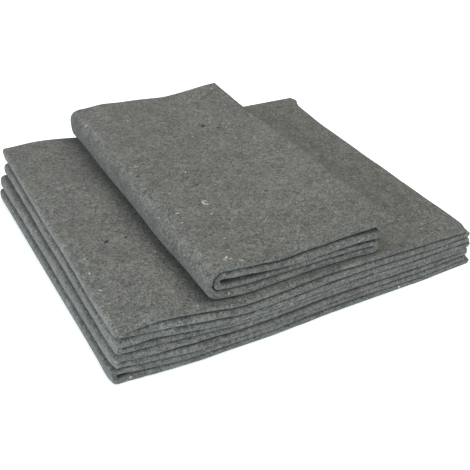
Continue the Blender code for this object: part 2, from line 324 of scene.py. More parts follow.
TOP_FRONT = (
    TopFront(0.180, 0.0000, 0.0025, 0.0035, -0.0010),
    TopFront(0.250, -0.0010, 0.0050, 0.0045, 0.0050),
    TopFront(0.330, 0.0020, 0.0050, 0.0000, 0.0085),
    TopFront(0.410, 0.0015, 0.0020, -0.0010, 0.0055),
    TopFront(0.490, -0.0035, -0.0035, -0.0030, 0.0035),
)


def soft_columns(rows):
    """One softened line along x for every band of a table."""
    xs = [row.x for row in rows]
    return [softened(xs, [row[column] for row in rows]) for column in range(1, len(rows[0]))]


soft_fronts = soft_columns(PILE_FRONT) + soft_columns(TOP_FRONT)

EDGE_WAVE = 0.0009
EDGE_LENGTHS = (0.07, 0.24)
EDGE_SEED = 300
EDGE_RIPPLE = 0.0003
RIPPLE_LENGTHS = (0.018, 0.040)
RIPPLE_COUNT = 7
RIPPLE_SEED = 400
BACK_WAVE = 0.0016
BACK_LENGTHS = (0.08, 0.30)
BACK_SEED = 500

front_waves = [slow_waves(EDGE_SEED + band, *EDGE_LENGTHS) for band in range(len(BANDS))]
front_ripples = [slow_waves(RIPPLE_SEED + band, *RIPPLE_LENGTHS, RIPPLE_COUNT) for band in range(len(BANDS))]
back_waves = [slow_waves(BACK_SEED + band, *BACK_LENGTHS) for band in range(len(BANDS))]


def front_edge(band, x):
    waves = EDGE_WAVE * front_waves[band](x, 0.0) + EDGE_RIPPLE * front_ripples[band](x, 0.0)
    return np.interp(x, PLAN_X, soft_fronts[band]) + waves


def back_edge(band, x, depth):
    return depth + BACK_WAVE * (back_waves[band](x, 0.0) - 0.5)


# %% [markdown]
# A blanket is modelled along its own strip, one station after the other: along its upper band, round the
# fold, and back along the band below. A fold in thick felt isn't a half circle. Its nose is blunt, because
# the felt doesn't like to bend, its cloths lie tight on each other there, and it hangs a little low under
# the weight above it.

# %% Stations on a band and round a turn
Nose = namedtuple("Nose", "over under back loose")
PILE_NOSE_BACK = 3.3
TOP_NOSE = Nose(2.3, 2.3, 3.4, 0.0013)
TURN_CORNER = 0.004
TURN_CORNER_REACH = 0.024
TURN_SAG = 0.04


def blunt(angle, power):
    """A point of a rounded square, from a circle at power 2 towards a square as the power grows."""
    across, up = math.sin(angle), math.cos(angle)
    reach = (abs(across) ** power + abs(up) ** power) ** (-1.0 / power)
    return reach * across, reach * up


def straight(band, outer_side, place):
    def at(out, y):
        x = place(out, y)
        return x, level(band, x, y) + outer_side * out * pitch(band, x, y)

    return at, band


def turned(band_from, band_to, centre, side, outer_side, shape, angle):
    front = shape.over if angle < math.pi / 2 else shape.under

    def at(out, y):
        x = centre(y)
        nose, up = blunt(angle, mix(front, shape.back, share(y, 0.0, PILE_DEPTH)))
        start, end = level(band_from, x, y), level(band_to, x, y)
        step = mix(pitch(band_from, x, y), pitch(band_to, x, y), angle / math.pi)
        middle = np.abs(end - start) / 2
        radius = middle + outer_side * out * step
        reach = middle - step + (1 + outer_side * out) * (CLOTH + TIGHT_IN_BAND + shape.loose)
        towards_end = np.sign(end - start)
        height = (start + end) / 2 - towards_end * radius * up - TURN_SAG * radius * nose * nose
        return x + side * reach * nose, height

    return at, band_from if angle < math.pi / 2 else band_to


# %% [markdown]
# The strip's cut ends are stepped a little, each cloth past the one outside it, because the outer cloth has
# the longer way round the fold. Their corners draw in at the front, and towards the back the ends spread out.

# %% Ends of the strip
CUT_WAVE = 0.0012
CUT_LENGTHS = (0.05, 0.22)
CUT_SEED = 600
CUT_SHIFT_BETWEEN_CLOTHS = 0.03


def between(front, back):
    return lambda y: mix(front, back, share(y, 0.0, PILE_DEPTH))


def rounded_line(front, back):
    line = between(front, back)
    return lambda y: line(y) + TURN_CORNER * (1 - share(y, 0.0, TURN_CORNER_REACH)) ** 2


def on_turn(centre):
    return lambda out, y: centre(y)


def free_end(edge, spread, corner, flare, seed):
    wander = slow_waves(seed, *CUT_LENGTHS)

    def place(out, y):
        drawn_in = corner * (1 - share(y, 0.0, CORNER_REACH)) ** 2
        drawn_in = drawn_in + BACK_CORNER * flare * share(y, PILE_DEPTH - BACK_CORNER_REACH, PILE_DEPTH) ** 2
        spread_out = spread * share(y, PILE_DEPTH - SPREAD_REACH, PILE_DEPTH)
        flared = share(y, PILE_DEPTH - FLARE_REACH, PILE_DEPTH - BACK_CORNER_REACH)
        spread_out = spread_out + flare * eased(flared)
        cut = CUT_WAVE * wander(CUT_SHIFT_BETWEEN_CLOTHS * out, y)
        return edge(y) - STEPPED_END * out - drawn_in + spread_out + cut

    return place


# %% [markdown]
# Now the way along each strip can be written down as a list of stations: a pile blanket has two bands and one
# turn, and the top one has four bands and three turns, one of them nested inside the big one at its left.

# %% Along the strips
ROW_SPACE = 0.0078
FEWEST_ROWS = 6
TURN_ROWS = 18

Folded = namedtuple(
    "Folded",
    "name lower turn_front turn_back upper_front upper_back lower_front lower_back depth corner flare "
    "nose_over nose_under",
)
PILE = (
    Folded("blanket_1_bottom", 0, -0.0025, -0.0160, 0.698, 0.687, 0.702, 0.691, 0.636, 0.014, 0.0, 3.8, 3.8),
    Folded("blanket_2", 2, 0.0030, -0.0100, 0.6945, 0.683, 0.6945, 0.681, 0.633, 0.007, 0.0, 4.2, 4.2),
    Folded("blanket_3", 4, 0.0080, 0.0010, 0.6945, 0.681, 0.6925, 0.683, 0.635, 0.006, 0.003, 8.5, 4.2),
    Folded("blanket_4", 6, 0.0115, 0.0060, 0.6875, 0.6815, 0.6905, 0.684, 0.637, 0.0060, 0.010, 4.2, 8.5),
)

TOP_NAME = "blanket_5_top"
TOP_TURN = (0.1820, 0.1772)
TOP_INNER_TURN = (0.1816, 0.1786)
TOP_RIGHT_TURN = (0.4690, 0.4500)
TOP_UPPER_END = (0.5140, 0.4900)
TOP_SECOND_END = (0.4800, 0.4650)
TOP_DEPTH = 0.638
TOP_UPPER_CUT_SEED = 631
TOP_SECOND_CUT_SEED = 632


def sliding(first, last, part):
    return lambda out, y: mix(first(out, y), last(out, y), part)


def band_run(band, outer_side, first, last):
    length = abs(float(last(0.0, PILE_DEPTH / 2)) - float(first(0.0, PILE_DEPTH / 2)))
    rows = max(FEWEST_ROWS, round(length / ROW_SPACE))
    parts = [row / rows for row in range(rows + 1)]
    return [straight(band, outer_side, sliding(first, last, part)) for part in parts]


def turn_run(band_from, band_to, centre, side, outer_side, shape):
    angles = [math.pi * row / TURN_ROWS for row in range(1, TURN_ROWS)]
    return [turned(band_from, band_to, centre, side, outer_side, shape, angle) for angle in angles]


def pile_path(blanket):
    upper, lower = blanket.lower + 1, blanket.lower
    turn = rounded_line(blanket.turn_front, blanket.turn_back)
    upper_edge = between(blanket.upper_front, blanket.upper_back)
    lower_edge = between(blanket.lower_front, blanket.lower_back)
    upper_end = free_end(upper_edge, PILE_SPREAD, blanket.corner, blanket.flare, CUT_SEED + upper)
    half_corner, half_flare = blanket.corner / 2, blanket.flare / 2
    lower_end = free_end(lower_edge, PILE_SPREAD, half_corner, half_flare, CUT_SEED + lower)
    nose = Nose(blanket.nose_over, blanket.nose_under, PILE_NOSE_BACK, 0.0)
    path = band_run(upper, 1, upper_end, on_turn(turn))
    path += turn_run(upper, lower, turn, -1, 1, nose)
    path += band_run(lower, -1, on_turn(turn), lower_end)
    return path


def top_path():
    lowest = TOP_LOWEST_BAND
    turn, inner = between(*TOP_TURN), between(*TOP_INNER_TURN)
    right = between(*TOP_RIGHT_TURN)
    upper_end = free_end(between(*TOP_UPPER_END), 0.0, 0.0, 0.0, TOP_UPPER_CUT_SEED)
    second_end = free_end(between(*TOP_SECOND_END), 0.0, 0.0, 0.0, TOP_SECOND_CUT_SEED)
    path = band_run(lowest + 3, 1, upper_end, on_turn(turn))
    path += turn_run(lowest + 3, lowest, turn, -1, 1, TOP_NOSE)
    path += band_run(lowest, -1, on_turn(turn), on_turn(right))
    path += turn_run(lowest, lowest + 1, right, 1, 1, TOP_NOSE)
    path += band_run(lowest + 1, 1, on_turn(right), on_turn(inner))
    path += turn_run(lowest + 1, lowest + 2, inner, -1, -1, TOP_NOSE)
    path += band_run(lowest + 2, -1, on_turn(inner), second_end)
    return path


print("stations along a pile blanket:", len(pile_path(PILE[0])), "and along the top one:", len(top_path()))

# %% [markdown]
# Across the strip the cloth makes its thirds: the inner third from its free edge, the rolled fold at the
# front, the outer third, the fold at the back, and the third that is tucked between them. The front roll is
# pressed, so it is blunter than a half circle, most of all at the right, where the bands lie tight.

# %% Across the strip
ROLL_BLUNTNESS = 3.3
TIGHT_ROLL, LOOSE_ROLL = 8.0, 3.0
LOOSE_ENOUGH = 0.8
ROLL_COLUMNS = 18
BACK_COLUMNS = 8
OUTER_COLUMNS = 64
INNER_COLUMNS = 40
TUCKED_COLUMNS = 36
NEAR_FRONT = 0.02
NEAR_BACK = 0.98
ROOM_AT_CUT_EDGE = 0.012

Column = namedtuple("Column", "out anchor beyond bulge")


def shares(count):
    return [mix(NEAR_FRONT, NEAR_BACK, step / count) for step in range(count + 1)]


def thirds():
    columns = [Column(-1, "back", -INNER_THIRD_SHORT, 0)]
    columns += [Column(-1, part, 0, 0) for part in reversed(shares(INNER_COLUMNS)[:-1])]
    for step in range(ROLL_COLUMNS + 1):
        out = blunt(math.pi * step / ROLL_COLUMNS, ROLL_BLUNTNESS)[1]
        columns.append(Column(-out, "roll", 0, 0))
    columns += [Column(1, part, 0, 0) for part in shares(OUTER_COLUMNS)]
    for step in range(BACK_COLUMNS + 1):
        angle = math.pi * step / BACK_COLUMNS
        columns.append(Column(0.5 + 0.5 * math.cos(angle), "back", 0, 0.5 * math.sin(angle)))
    first_tucked = TUCKED_THIRD_SHORT + ROOM_AT_CUT_EDGE
    tucked = [part for part in shares(TUCKED_COLUMNS) if part * PILE_DEPTH > first_tucked]
    columns += [Column(0, part, 0, 0) for part in reversed(tucked)]
    columns.append(Column(0, "front", TUCKED_THIRD_SHORT, 0))
    return columns


COLUMNS = thirds()
OUT = np.array([column.out for column in COLUMNS], dtype=float)


def depths(at, band, depth):
    """The y of every column of the strip, at one station along it."""
    x = float(at(0.0, depth / 2)[0])
    front_step = float(pitch(band, x, 0.0))
    back_step = float(pitch(band, x, depth))
    front = float(front_edge(band, x)) + front_step
    back = float(back_edge(band, x, depth)) - back_step / 2
    power = mix(TIGHT_ROLL, LOOSE_ROLL, min(1.0, float(looseness(band, x, 0.0)) / LOOSE_ENOUGH))
    power = power * (1 + PRESS_WAVE * float(press_waves[band](x, 0.0)))
    ys = []
    for column in COLUMNS:
        if column.anchor == "roll":
            ys.append(front - front_step * (1 - min(1.0, abs(column.out)) ** power) ** (1 / power))
        elif column.anchor == "front":
            ys.append(front + column.beyond)
        elif column.anchor == "back":
            ys.append(back + column.beyond + column.bulge * back_step)
        else:
            ys.append(column.anchor * PILE_DEPTH)
    return np.array(ys)


print("columns across a strip:", len(COLUMNS))

# %% [markdown]
# A grid is the natural start for a cloth: it is flat, as the felt was when it was cut. Each of its points is
# carried to its place on the folds, the way a sheet is folded, and Solidify gives it the felt's thickness on
# both sides. The flat cloth's own coordinates are kept as a UV map, so that fibres can follow the cloth round
# every fold.

# %% Fold a grid into a blanket
CLOTH_MAP = "cloth"
UV_METRES = 2.0


def running_length(points):
    return np.concatenate([[0.0], np.cumsum(np.linalg.norm(np.diff(points, axis=0), axis=1))])


def folded_places(path, depth):
    rows = []
    for at, band in path:
        y = depths(at, band, depth)
        x, z = at(OUT, y)
        rows.append(np.stack([x - STACK_MIDDLE[0], y - STACK_MIDDLE[1], z], axis=-1))
    return np.array(rows)


def folded_cloth(name, path, depth):
    places = folded_places(path, depth)
    row_count, column_count = places.shape[:2]
    bm = bmesh.new()
    bmesh.ops.create_grid(bm, x_segments=row_count - 1, y_segments=column_count - 1, size=0.5)
    spots = []
    for vertex in bm.verts:
        row = round((vertex.co.x + 0.5) * (row_count - 1))
        column = round((vertex.co.y + 0.5) * (column_count - 1))
        vertex.co = places[row, column]
        spots.append((row, column))
    mesh = bpy.data.meshes.new(name)
    bm.to_mesh(mesh)
    bm.free()
    spots = np.array(spots)
    middle = int(np.argmin(np.abs(OUT - 1) + np.abs(places[0, :, 1])))
    along = running_length(places[:, middle])
    across = running_length(places[row_count // 4])
    corners = np.empty(len(mesh.loops), dtype=np.int32)
    mesh.loops.foreach_get("vertex_index", corners)
    flat = np.stack([along[spots[:, 0]], across[spots[:, 1]]], axis=-1) / UV_METRES
    layer = mesh.uv_layers.new(name=CLOTH_MAP)
    layer.data.foreach_set("uv", flat[corners].astype(np.float32).ravel())
    mesh.shade_smooth()
    blanket = bpy.data.objects.new(name + "_felt", mesh)
    bpy.context.scene.collection.objects.link(blanket)
    thickness = blanket.modifiers.new("felt_thickness", "SOLIDIFY")
    thickness.thickness = CLOTH
    thickness.offset = 0.0
    thickness.use_even_offset = True
    size = (float(along[-1]), float(across[-1]))
    print(name, "cut", round(size[0], 3), "by", round(size[1], 3), "m,", len(mesh.vertices), "points")
    return blanket, size


blankets = {}
for row in PILE:
    blankets[row.name] = folded_cloth(row.name, pile_path(row), row.depth)
blankets[TOP_NAME] = folded_cloth(TOP_NAME, top_path(), TOP_DEPTH)

# %% [markdown]
# Recycled felt is needled from torn cotton and wool of every colour. Close up it is a fine grey grain, with
# softer clouds where more dark or more pale waste went in. The same grain is needed in all five felts, so it
# is a node group with its own inputs, and the tints stay in each material.

# %% Helpers for node groups


def new_group(name, inputs, outputs):
    group = bpy.data.node_groups.new(name, "ShaderNodeTree")
    for title, kind, value in inputs:
        socket = group.interface.new_socket(title, in_out="INPUT", socket_type=kind)
        if value is not None:
            socket.default_value = value
    for title, kind in outputs:
        group.interface.new_socket(title, in_out="OUTPUT", socket_type=kind)
    return group, group.nodes.new("NodeGroupInput"), group.nodes.new("NodeGroupOutput")


def noise(tree, place, scale, detail=2.0, roughness=0.5, swirl=0.0):
    node = tree.nodes.new("ShaderNodeTexNoise")
    node.inputs["Detail"].default_value = detail
    node.inputs["Roughness"].default_value = roughness
    node.inputs["Distortion"].default_value = swirl
    tree.links.new(place, node.inputs["Vector"])
    put(tree, scale, node.inputs["Scale"])
    return node.outputs["Fac"]


def put(tree, value, socket):
    """A number goes on the socket itself, and anything else is linked to it."""
    if isinstance(value, (int, float, tuple)):
        socket.default_value = value
    else:
        tree.links.new(value, socket)


def maths(tree, operation, first, second=0.0):
    node = tree.nodes.new("ShaderNodeMath")
    node.operation = operation
    put(tree, first, node.inputs[0])
    put(tree, second, node.inputs[1])
    return node.outputs[0]


def span(tree, value, low, high, to_low=0.0, to_high=1.0):
    node = tree.nodes.new("ShaderNodeMapRange")
    node.interpolation_type = "SMOOTHSTEP"
    put(tree, value, node.inputs["Value"])
    put(tree, low, node.inputs["From Min"])
    put(tree, high, node.inputs["From Max"])
    put(tree, to_low, node.inputs["To Min"])
    put(tree, to_high, node.inputs["To Max"])
    return node.outputs["Result"]


def wobbled(tree, place, scale, reach):
    """Pushes each place about a little, so that what is drawn there gets a ragged outline."""
    push = tree.nodes.new("ShaderNodeTexNoise")
    push.inputs["Scale"].default_value = scale
    tree.links.new(place, push.inputs["Vector"])
    centred = tree.nodes.new("ShaderNodeVectorMath")
    centred.operation = "SUBTRACT"
    tree.links.new(push.outputs["Color"], centred.inputs[0])
    centred.inputs[1].default_value = (0.5, 0.5, 0.5)
    pushed = tree.nodes.new("ShaderNodeVectorMath")
    pushed.operation = "MULTIPLY_ADD"
    tree.links.new(centred.outputs["Vector"], pushed.inputs[0])
    pushed.inputs[1].default_value = (reach, reach, reach)
    tree.links.new(place, pushed.inputs[2])
    return pushed.outputs["Vector"]


def moved(tree, place, scale, shift):
    node = tree.nodes.new("ShaderNodeMapping")
    put(tree, place, node.inputs["Vector"])
    put(tree, shift, node.inputs["Location"])
    node.inputs["Scale"].default_value = scale
    return node.outputs["Vector"]


# %% [markdown]
# The grain is a mixture of three noises: tufts, finer fibre between them, and coarser clumps, which show
# best from a step away. Each is swirled a little, as needled fibre is. A fourth noise makes small dark pits,
# and a slow one the clouds. All of them come out as plain numbers from 0 to 1.

# %% Grain of the needled felt
GrainPart = namedtuple("GrainPart", "finer detail roughness swirl portion")
GRAIN_PARTS = (
    GrainPart(1.00, 3.0, 0.65, 1.1, 0.42),
    GrainPart(1.70, 2.0, 0.60, 0.4, 0.34),
    GrainPart(0.42, 2.0, 0.50, 1.6, 0.24),
)
GRAIN_SPAN = (0.36, 0.645)
CLOUD_DETAIL, CLOUD_ROUGHNESS = 3.0, 0.55
CLOUD_SPAN = (0.30, 0.70)
PIT_FINER, PIT_DETAIL = 0.8, 1.0
PIT_SPAN = (0.36, 0.24)

grain_group, grain_in, grain_out = new_group(
    "needled_grain",
    [
        ("Place", "NodeSocketVector", None),
        ("Tuft Size", "NodeSocketFloat", 0.0036),
        ("Cloud Size", "NodeSocketFloat", 0.045),
    ],
    [("Grain", "NodeSocketFloat"), ("Clouds", "NodeSocketFloat"), ("Pits", "NodeSocketFloat")],
)
g_place = grain_in.outputs["Place"]
tuft_scale = maths(grain_group, "DIVIDE", 1.0, grain_in.outputs["Tuft Size"])
cloud_scale = maths(grain_group, "DIVIDE", 1.0, grain_in.outputs["Cloud Size"])
grain_sum = None
for part in GRAIN_PARTS:
    scale = maths(grain_group, "MULTIPLY", tuft_scale, part.finer)
    fibre = noise(grain_group, g_place, scale, part.detail, part.roughness, part.swirl)
    portion = maths(grain_group, "MULTIPLY", fibre, part.portion)
    grain_sum = portion if grain_sum is None else maths(grain_group, "ADD", grain_sum, portion)
grain_group.links.new(span(grain_group, grain_sum, *GRAIN_SPAN), grain_out.inputs["Grain"])
slow = noise(grain_group, g_place, cloud_scale, CLOUD_DETAIL, CLOUD_ROUGHNESS)
grain_group.links.new(span(grain_group, slow, *CLOUD_SPAN), grain_out.inputs["Clouds"])
pit_scale = maths(grain_group, "MULTIPLY", tuft_scale, PIT_FINER)
pits = noise(grain_group, g_place, pit_scale, PIT_DETAIL)
grain_group.links.new(span(grain_group, pits, *PIT_SPAN), grain_out.inputs["Pits"])

# %% [markdown]
# Single long hairs lie on the surface in all directions. A hair is drawn where a slow noise passes through
# its middle value, which gives a thin wandering line, and a second noise breaks the lines into short lengths.
# They follow the flat cloth's own coordinates, so that a hair runs on round a fold.

# %% Loose hairs
HairSet = namedtuple("HairSet", "scale shift")
HAIR_SETS = (HairSet(150.0, 1.7), HairSet(115.0, 5.3), HairSet(180.0, 9.1))
HAIR_DETAIL, HAIR_ROUGHNESS = 1.0, 0.4
BREAKS_COARSER = 0.62
BREAK_SOFTNESS = 0.08

hair_group, hair_in, hair_out = new_group(
    "loose_hairs",
    [
        ("Cloth Place", "NodeSocketVector", None),
        ("Hair Width", "NodeSocketFloat", 0.035),
        ("Hair Share", "NodeSocketFloat", 0.55),
    ],
    [("Hairs", "NodeSocketFloat")],
)
hair_sum = None
for hairs in HAIR_SETS:
    shift = (hairs.shift, -hairs.shift, 0.6 * hairs.shift)
    spot = moved(hair_group, hair_in.outputs["Cloth Place"], (1.0, 1.0, 1.0), shift)
    line = noise(hair_group, spot, hairs.scale, HAIR_DETAIL, HAIR_ROUGHNESS)
    away = maths(hair_group, "ABSOLUTE", maths(hair_group, "SUBTRACT", line, 0.5))
    thin = span(hair_group, away, hair_in.outputs["Hair Width"], 0.0)
    breaks = noise(hair_group, spot, hairs.scale * BREAKS_COARSER, 0.0)
    hair_share = hair_in.outputs["Hair Share"]
    kept = span(hair_group, breaks, hair_share, maths(hair_group, "ADD", hair_share, BREAK_SOFTNESS))
    hair = maths(hair_group, "MULTIPLY", thin, kept)
    hair_sum = hair if hair_sum is None else maths(hair_group, "MAXIMUM", hair_sum, hair)
hair_group.links.new(hair_sum, hair_out.inputs["Hairs"])

# %% [markdown]
# The waste also leaves small knots of lint: white, black, and now and then a coloured one. Voronoi cells give
# each knot its own place and its own chance, so most cells stay empty.

# %% Knots of lint
KNOT_RAGGED_SCALE, KNOT_RAGGED_REACH = 260.0, 0.0045
SMALLEST_KNOT = 0.5
KNOT_CORE = 0.35

lint_group, lint_in, lint_out = new_group(
    "knots_of_lint",
    [
        ("Place", "NodeSocketVector", None),
        ("Spacing", "NodeSocketFloat", 0.012),
        ("Share", "NodeSocketFloat", 0.3),
        ("Knot Size", "NodeSocketFloat", 0.17),
    ],
    [("Knots", "NodeSocketFloat"), ("Chance", "NodeSocketColor")],
)
ragged = wobbled(lint_group, lint_in.outputs["Place"], KNOT_RAGGED_SCALE, KNOT_RAGGED_REACH)
cells = lint_group.nodes.new("ShaderNodeTexVoronoi")
lint_group.links.new(ragged, cells.inputs["Vector"])
put(lint_group, maths(lint_group, "DIVIDE", 1.0, lint_in.outputs["Spacing"]), cells.inputs["Scale"])
parts = lint_group.nodes.new("ShaderNodeSeparateColor")
lint_group.links.new(cells.outputs["Color"], parts.inputs["Color"])
chosen = maths(lint_group, "LESS_THAN", parts.outputs["Red"], lint_in.outputs["Share"])
size_by_chance = maths(lint_group, "ADD", parts.outputs["Green"], SMALLEST_KNOT)
knot_size = maths(lint_group, "MULTIPLY", lint_in.outputs["Knot Size"], size_by_chance)
knot_core = maths(lint_group, "MULTIPLY", knot_size, KNOT_CORE)
near = span(lint_group, cells.outputs["Distance"], knot_size, knot_core)
lint_group.links.new(maths(lint_group, "MULTIPLY", near, chosen), lint_out.inputs["Knots"])
lint_group.links.new(cells.outputs["Color"], lint_out.inputs["Chance"])

# %% [markdown]
# Some bits of lint are large enough to be known by sight: a white curl on top, a few tufts by the front
# fold, dark specks, and at the front a beige and a reddish patch of other wool. Each is a short soft stroke
# with its own length and turn. On a top face its place is x and y, on the front x and height.

# %% Strokes of lint
Lint = namedtuple("Lint", "blanket face x away length width turn kind")
LINT = (
    Lint("blanket_5_top", "top", 0.243, 0.195, 0.008, 0.002, -85, "white"),
    Lint("blanket_5_top", "top", 0.245, 0.188, 0.009, 0.002, -35, "white"),
    Lint("blanket_5_top", "top", 0.248, 0.198, 0.006, 0.002, -40, "white"),
    Lint("blanket_5_top", "top", 0.200, 0.025, 0.006, 0.002, 40, "white"),
    Lint("blanket_5_top", "top", 0.195, 0.020, 0.006, 0.003, 15, "pale"),
    Lint("blanket_5_top", "top", 0.205, 0.020, 0.006, 0.003, -10, "pale"),
    Lint("blanket_5_top", "top", 0.220, 0.010, 0.005, 0.003, 5, "pale"),
    Lint("blanket_5_top", "top", 0.185, 0.175, 0.008, 0.003, 25, "pale"),
    Lint("blanket_5_top", "top", 0.180, 0.145, 0.004, 0.003, 10, "pale"),
    Lint("blanket_5_top", "top", 0.200, 0.240, 0.004, 0.003, 30, "pale"),
    Lint("blanket_5_top", "top", 0.180, 0.350, 0.006, 0.003, 10, "pale"),
    Lint("blanket_5_top", "top", 0.470, 0.615, 0.005, 0.004, 0, "pale"),
    Lint("blanket_5_top", "top", 0.155, 0.555, 0.005, 0.004, -55, "pale"),
    Lint("blanket_5_top", "top", 0.375, 0.465, 0.008, 0.007, 10, "black"),
    Lint("blanket_5_top", "top", 0.400, 0.445, 0.005, 0.004, 15, "black"),
    Lint("blanket_5_top", "top", 0.170, 0.315, 0.004, 0.004, 20, "black"),
    Lint("blanket_5_top", "top", 0.260, 0.255, 0.008, 0.003, 10, "black"),
    Lint("blanket_5_top", "top", 0.365, 0.185, 0.006, 0.003, 0, "black"),
    Lint("blanket_5_top", "front", 0.300, 0.102, 0.028, 0.006, -10, "beige"),
    Lint("blanket_4", "top", 0.070, 0.220, 0.008, 0.005, 45, "black"),
    Lint("blanket_4", "top", 0.105, 0.220, 0.005, 0.004, 25, "black"),
    Lint("blanket_4", "top", 0.020, 0.190, 0.004, 0.003, 15, "pale"),
    Lint("blanket_3", "front", 0.300, 0.055, 0.004, 0.003, 0, "pale"),
    Lint("blanket_2", "front", 0.435, 0.033, 0.012, 0.004, -5, "red"),
    Lint("blanket_1_bottom", "front", 0.530, 0.006, 0.004, 0.003, 5, "white"),
)
LintKind = namedtuple("LintKind", "colour strength")
LINT_KINDS = {
    "white": LintKind((0.55, 0.55, 0.51), 0.90),
    "pale": LintKind((0.34, 0.34, 0.31), 0.80),
    "black": LintKind((0.009, 0.009, 0.010), 1.0),
    "beige": LintKind((0.210, 0.195, 0.150), 0.70),
    "red": LintKind((0.120, 0.060, 0.072), 0.80),
}
THROUGH = 5.0
STROKE_EDGE, STROKE_CORE = 1.9, 0.7

stroke_group, stroke_in, stroke_out = new_group(
    "stroke_of_lint",
    [
        ("Place", "NodeSocketVector", None),
        ("Middle", "NodeSocketVector", (0.0, 0.0, 0.0)),
        ("Turn", "NodeSocketVector", (0.0, 0.0, 0.0)),
        ("Half Size", "NodeSocketVector", (0.004, 0.001, 1.0)),
    ],
    [("Cover", "NodeSocketFloat")],
)
on_stroke = stroke_group.nodes.new("ShaderNodeMapping")
on_stroke.vector_type = "TEXTURE"
stroke_group.links.new(stroke_in.outputs["Place"], on_stroke.inputs["Vector"])
stroke_group.links.new(stroke_in.outputs["Middle"], on_stroke.inputs["Location"])
stroke_group.links.new(stroke_in.outputs["Turn"], on_stroke.inputs["Rotation"])
stroke_group.links.new(stroke_in.outputs["Half Size"], on_stroke.inputs["Scale"])
from_middle = stroke_group.nodes.new("ShaderNodeVectorMath")
from_middle.operation = "LENGTH"
stroke_group.links.new(on_stroke.outputs["Vector"], from_middle.inputs[0])
stroke_cover = span(stroke_group, from_middle.outputs["Value"], STROKE_EDGE, STROKE_CORE)
stroke_group.links.new(stroke_cover, stroke_out.inputs["Cover"])


def lint_cover(tree, place, blanket_name, kind):
    """How much of each point is covered by one kind of lint on one blanket, or None where there is none."""
    cover = None
    for lint in LINT:
        if lint.blanket != blanket_name or lint.kind != kind:
            continue
        node = tree.nodes.new("ShaderNodeGroup")
        node.node_tree = stroke_group
        tree.links.new(place, node.inputs["Place"])
        x, turn = lint.x - STACK_MIDDLE[0], math.radians(lint.turn)
        if lint.face == "top":
            node.inputs["Middle"].default_value = (x, lint.away - STACK_MIDDLE[1], 0.0)
            node.inputs["Turn"].default_value = (0.0, 0.0, turn)
            node.inputs["Half Size"].default_value = (lint.length / 2, lint.width / 2, THROUGH)
        else:
            node.inputs["Middle"].default_value = (x, 0.0, lint.away)
            node.inputs["Turn"].default_value = (0.0, -turn, 0.0)
            node.inputs["Half Size"].default_value = (lint.length / 2, THROUGH, lint.width / 2)
        stroke = node.outputs["Cover"]
        cover = stroke if cover is None else maths(tree, "MAXIMUM", cover, stroke)
    return cover


print("strokes of lint:", len(LINT))

# %% [markdown]
# Each blanket gets a felt of its own, because no two came off the same roll: the same groups with other
# places and slightly other greys. Felt has no shine, so the roughness is high, and a little sheen stands for
# the fuzz that catches the light along an edge. Sheen is the same all over, so it is set on the shader.

# %% The felts
Felt = namedtuple("Felt", "dark pale shift")
FELTS = {
    "blanket_1_bottom": Felt((0.0315, 0.0330, 0.0295), (0.1840, 0.1870, 0.1700), (0.31, 0.12, 0.07)),
    "blanket_2": Felt((0.0320, 0.0333, 0.0295), (0.1850, 0.1875, 0.1690), (0.77, 0.45, 0.23)),
    "blanket_3": Felt((0.0315, 0.0330, 0.0290), (0.1830, 0.1865, 0.1680), (0.15, 0.83, 0.61)),
    "blanket_4": Felt((0.0320, 0.0330, 0.0287), (0.1840, 0.1860, 0.1640), (0.53, 0.29, 0.91)),
    "blanket_5_top": Felt((0.0325, 0.0330, 0.0287), (0.1850, 0.1865, 0.1640), (0.93, 0.61, 0.37)),
}
CLOUD_SHADES = (0.90, 1.09)
PIT_COLOUR, PIT_STRENGTH = (0.030, 0.030, 0.031), 0.85
HAIR_COLOUR, HAIR_STRENGTH, HAIR_RELIEF = (0.30, 0.30, 0.29), 0.5, 0.5
KNOT_STRENGTH, KNOT_RELIEF = 0.9, 0.4
STROKE_RAGGED_SCALE, STROKE_RAGGED_REACH = 420.0, 0.0024
RELIEF_STRENGTH, RELIEF_HEIGHT = 0.4, 0.0008
FELT_ROUGHNESS = 0.95
FELT_SHINE = 0.2
FELT_SHEEN, SHEEN_ROUGHNESS = 0.12, 0.6

KnotTint = namedtuple("KnotTint", "from_chance colour")
KNOT_TINTS = (
    KnotTint(0.00, (0.012, 0.012, 0.013)),
    KnotTint(0.55, (0.40, 0.40, 0.37)),
    KnotTint(0.88, (0.16, 0.14, 0.11)),
    KnotTint(0.94, (0.06, 0.07, 0.09)),
    KnotTint(0.98, (0.18, 0.08, 0.07)),
)


def blend_colours(tree, first, second, amount, kind="MIX"):
    node = tree.nodes.new("ShaderNodeMix")
    node.data_type = "RGBA"
    node.blend_type = kind
    put(tree, amount, node.inputs["Factor"])
    put(tree, first, node.inputs[6])
    put(tree, second, node.inputs[7])
    return node.outputs[2]


def place_group(tree, group, place_name, place):
    node = tree.nodes.new("ShaderNodeGroup")
    node.node_tree = group
    tree.links.new(place, node.inputs[place_name])
    return node


def base_colour(tree, felt, grain, hairs):
    """The grey felt itself: its grain, darker and paler clouds, pits and loose hairs."""
    colour = blend_colours(tree, (*felt.dark, 1.0), (*felt.pale, 1.0), grain.outputs["Grain"])
    cloud = span(tree, grain.outputs["Clouds"], 0.0, 1.0, *CLOUD_SHADES)
    shade = tree.nodes.new("ShaderNodeCombineColor")
    for channel in ("Red", "Green", "Blue"):
        tree.links.new(cloud, shade.inputs[channel])
    colour = blend_colours(tree, colour, shade.outputs[0], 1.0, "MULTIPLY")
    in_pits = maths(tree, "MULTIPLY", grain.outputs["Pits"], PIT_STRENGTH)
    colour = blend_colours(tree, colour, (*PIT_COLOUR, 1.0), in_pits)
    on_hairs = maths(tree, "MULTIPLY", hairs.outputs["Hairs"], HAIR_STRENGTH)
    return blend_colours(tree, colour, (*HAIR_COLOUR, 1.0), on_hairs)


